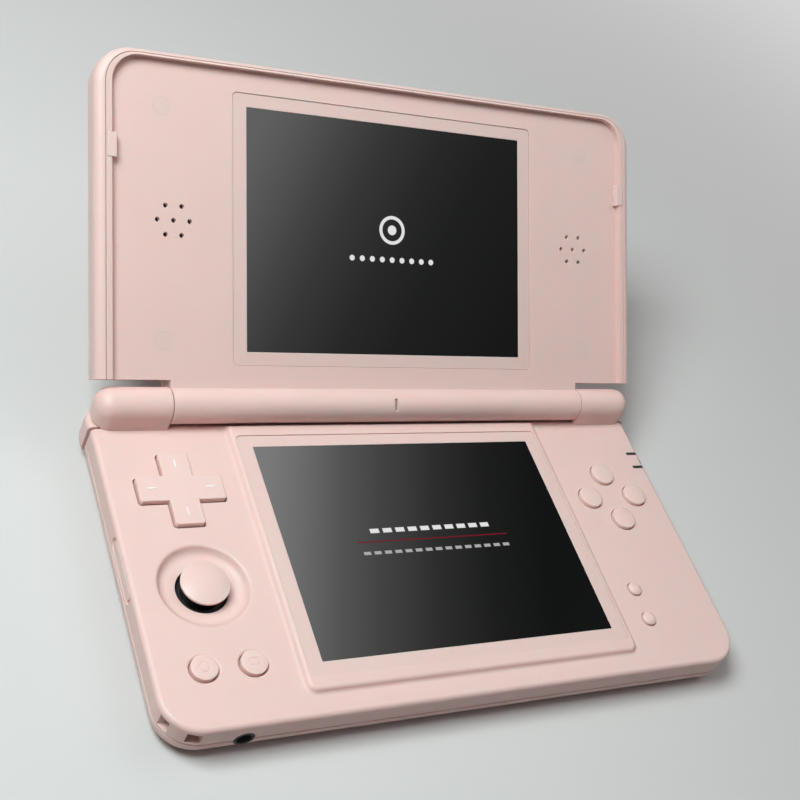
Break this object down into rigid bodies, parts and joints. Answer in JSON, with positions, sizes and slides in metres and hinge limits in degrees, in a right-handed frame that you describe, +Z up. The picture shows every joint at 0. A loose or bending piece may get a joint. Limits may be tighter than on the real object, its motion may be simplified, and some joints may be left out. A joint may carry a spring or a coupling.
{
  "type": "clamshell handheld game console",
  "caption": "Open clamshell handheld game console: a hinged lid with the upper screen and speakers over a base with the lower screen, direction pad, thumb stick and keys.",
  "frame": {"origin": "on the table plane, under the middle of the base", "axes": "+X to the player's right along the hinge, +Y away from the player towards the hinge, +Z up from the table"},
  "size_m": [0.1612, 0.1539, 0.0721],
  "materials": {
    "shell_plastic": "fine satin moulded plastic, pale pink",
    "key_plastic": "smooth satin moulded plastic, pale pink",
    "screen_glass": "dark glossy screen glass",
    "display_metal": "pressed metal back of a display",
    "circuit_board": "green solder resist",
    "battery_wrap": "satin dark wrap",
    "foot_rubber": "matte rubber",
    "steel": "plain steel",
    "silicone": "translucent grey silicone",
    "black_plastic": "matte black moulded plastic",
    "window_plastic": "dark polished plastic window",
    "white_plastic": "natural white acetal"
  },
  "bodies": {
    "base": {"base_bottom_shell": "shell_plastic", "base_top_shell": "shell_plastic", "lower_screen_frame": "shell_plastic", "lower_screen_glass": "screen_glass", "lower_display": "display_metal", "main_board": "circuit_board", "battery": "battery_wrap", "rubber_feet": "foot_rubber", "case_screws": "steel", "audio_jack": "black_plastic", "charging_port": "steel", "card_reader": "steel", "face_key_membrane": "silicone", "start_select_membrane": "silicone", "direction_pad_membrane": "silicone", "menu_key_membrane": "silicone", "stick_module": "black_plastic", "status_windows": "window_plastic", "hinge_axle": "steel", "hinge_damper": "steel", "shoulder_pins": "steel", "shoulder_switches": "black_plastic", "side_switches": "black_plastic"},
    "lid": {"lid_inner_frame": "shell_plastic", "lid_outer_shell": "shell_plastic", "hinge_barrel": "shell_plastic", "upper_screen_frame": "shell_plastic", "upper_screen_glass": "screen_glass", "upper_display": "display_metal", "left_speaker": "black_plastic", "right_speaker": "black_plastic", "lid_bumpers": "key_plastic", "lid_screw_plugs": "key_plastic", "lid_screws": "steel", "lid_board": "circuit_board", "microphone": "steel"},
    "direction_pad_rocker": {"direction_pad_pivot": "steel"},
    "direction_pad": {"direction_pad": "key_plastic"},
    "stick_gimbal": {"stick_gimbal": "white_plastic"},
    "stick": {"stick_shaft": "black_plastic", "stick_cap": "key_plastic"},
    "right_face_key": {"right_face_key": "key_plastic"},
    "bottom_face_key": {"bottom_face_key": "key_plastic"},
    "left_face_key": {"left_face_key": "key_plastic"},
    "top_face_key": {"top_face_key": "key_plastic"},
    "start_key": {"start_key": "key_plastic"},
    "select_key": {"select_key": "key_plastic"},
    "home_key": {"home_key": "key_plastic"},
    "return_key": {"return_key": "key_plastic"},
    "power_button": {"power_button": "key_plastic"},
    "volume_rocker": {"volume_rocker": "key_plastic"},
    "left_outer_shoulder": {"left_outer_shoulder": "shell_plastic"},
    "left_inner_shoulder": {"left_inner_shoulder": "shell_plastic"},
    "right_outer_shoulder": {"right_outer_shoulder": "shell_plastic"},
    "right_inner_shoulder": {"right_inner_shoulder": "shell_plastic"}
  },
  "joints": [
    {"name": "lid_hinge", "type": "hinge", "parent": "base", "child": "lid", "pos_m": [0, 0.0406, 0.0153], "axis": [1, 0, 0], "range_deg": [-15, 140.3]},
    {"name": "direction_pad_up_down", "type": "hinge", "parent": "base", "child": "direction_pad_rocker", "pos_m": [-0.0625, 0.0177, 0.00865], "axis": [1, 0, 0], "range_deg": [-4, 4], "stiffness_Nm_per_rad": 0.05},
    {"name": "direction_pad_left_right", "type": "hinge", "parent": "direction_pad_rocker", "child": "direction_pad", "pos_m": [-0.0625, 0.0177, 0.00865], "axis": [0, 1, 0], "range_deg": [-4, 4], "stiffness_Nm_per_rad": 0.05},
    {"name": "stick_up_down", "type": "hinge", "parent": "base", "child": "stick_gimbal", "pos_m": [-0.063, -0.0089, 0.0056], "axis": [1, 0, 0], "range_deg": [-12, 12], "stiffness_Nm_per_rad": 0.03},
    {"name": "stick_left_right", "type": "hinge", "parent": "stick_gimbal", "child": "stick", "pos_m": [-0.063, -0.0089, 0.0056], "axis": [0, 1, 0], "range_deg": [-12, 12], "stiffness_Nm_per_rad": 0.03},
    {"name": "right_face_key_press", "type": "slide", "parent": "base", "child": "right_face_key", "axis": [0, 0, -1], "range_m": [0, 0.0008], "stiffness_N_per_m": 600},
    {"name": "bottom_face_key_press", "type": "slide", "parent": "base", "child": "bottom_face_key", "axis": [0, 0, -1], "range_m": [0, 0.0008], "stiffness_N_per_m": 600},
    {"name": "left_face_key_press", "type": "slide", "parent": "base", "child": "left_face_key", "axis": [0, 0, -1], "range_m": [0, 0.0008], "stiffness_N_per_m": 600},
    {"name": "top_face_key_press", "type": "slide", "parent": "base", "child": "top_face_key", "axis": [0, 0, -1], "range_m": [0, 0.0008], "stiffness_N_per_m": 600},
    {"name": "start_key_press", "type": "slide", "parent": "base", "child": "start_key", "axis": [0, 0, -1], "range_m": [0, 0.0005], "stiffness_N_per_m": 600},
    {"name": "select_key_press", "type": "slide", "parent": "base", "child": "select_key", "axis": [0, 0, -1], "range_m": [0, 0.0005], "stiffness_N_per_m": 600},
    {"name": "home_key_press", "type": "slide", "parent": "base", "child": "home_key", "axis": [0, 0, -1], "range_m": [0, 0.0005], "stiffness_N_per_m": 600},
    {"name": "return_key_press", "type": "slide", "parent": "base", "child": "return_key", "axis": [0, 0, -1], "range_m": [0, 0.0005], "stiffness_N_per_m": 600},
    {"name": "power_button_press", "type": "slide", "parent": "base", "child": "power_button", "axis": [-1, 0, 0], "range_m": [0, 0.0004], "stiffness_N_per_m": 800},
    {"name": "volume_rocker_rock", "type": "hinge", "parent": "base", "child": "volume_rocker", "pos_m": [-0.07775, -0.0017, 0.0083], "axis": [0, 0, 1], "range_deg": [-2.5, 2.5], "stiffness_Nm_per_rad": 0.05},
    {"name": "right_outer_shoulder_press", "type": "hinge", "parent": "base", "child": "right_outer_shoulder", "pos_m": [0.0752, 0.0415, 0.006], "axis": [0, 0, 1], "range_deg": [0, 3.5], "stiffness_Nm_per_rad": 0.15},
    {"name": "left_outer_shoulder_press", "type": "hinge", "parent": "base", "child": "left_outer_shoulder", "pos_m": [-0.0752, 0.0415, 0.006], "axis": [0, 0, 1], "range_deg": [-3.5, 0], "stiffness_Nm_per_rad": 0.15},
    {"name": "right_inner_shoulder_press", "type": "hinge", "parent": "base", "child": "right_inner_shoulder", "pos_m": [0.0399, 0.0422, 0.006], "axis": [0, 0, 1], "range_deg": [-2.7, 0], "stiffness_Nm_per_rad": 0.15},
    {"name": "left_inner_shoulder_press", "type": "hinge", "parent": "base", "child": "left_inner_shoulder", "pos_m": [-0.0399, 0.0422, 0.006], "axis": [0, 0, 1], "range_deg": [0, 2.7], "stiffness_Nm_per_rad": 0.15}
  ]
}
